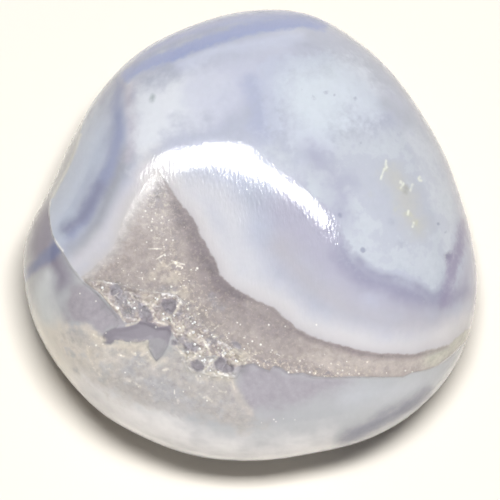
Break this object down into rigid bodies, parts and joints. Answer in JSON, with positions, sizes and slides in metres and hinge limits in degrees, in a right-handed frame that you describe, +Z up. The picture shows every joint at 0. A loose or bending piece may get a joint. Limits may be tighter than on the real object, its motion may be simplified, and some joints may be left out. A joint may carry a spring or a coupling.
{
  "type": "agate pebble",
  "caption": "Tumbled and polished pebble of banded pale blue chalcedony, with a stepped ledge and a small gap lined with quartz crystals.",
  "frame": {"origin": "on the floor, under the middle of the pebble as it lies on its flat underside", "axes": "+Z up, away from the flat underside; -Y towards the ledge and the crystal-lined gap; +X to the right seen from -Y"},
  "size_m": [0.0302, 0.0318, 0.0132],
  "materials": {
    "agate": "polished",
    "quartz_crust": "natural crystal faces"
  },
  "bodies": {
    "root": {"agate_stone": "agate", "druzy_quartz_crust": "quartz_crust"}
  },
  "joints": []
}
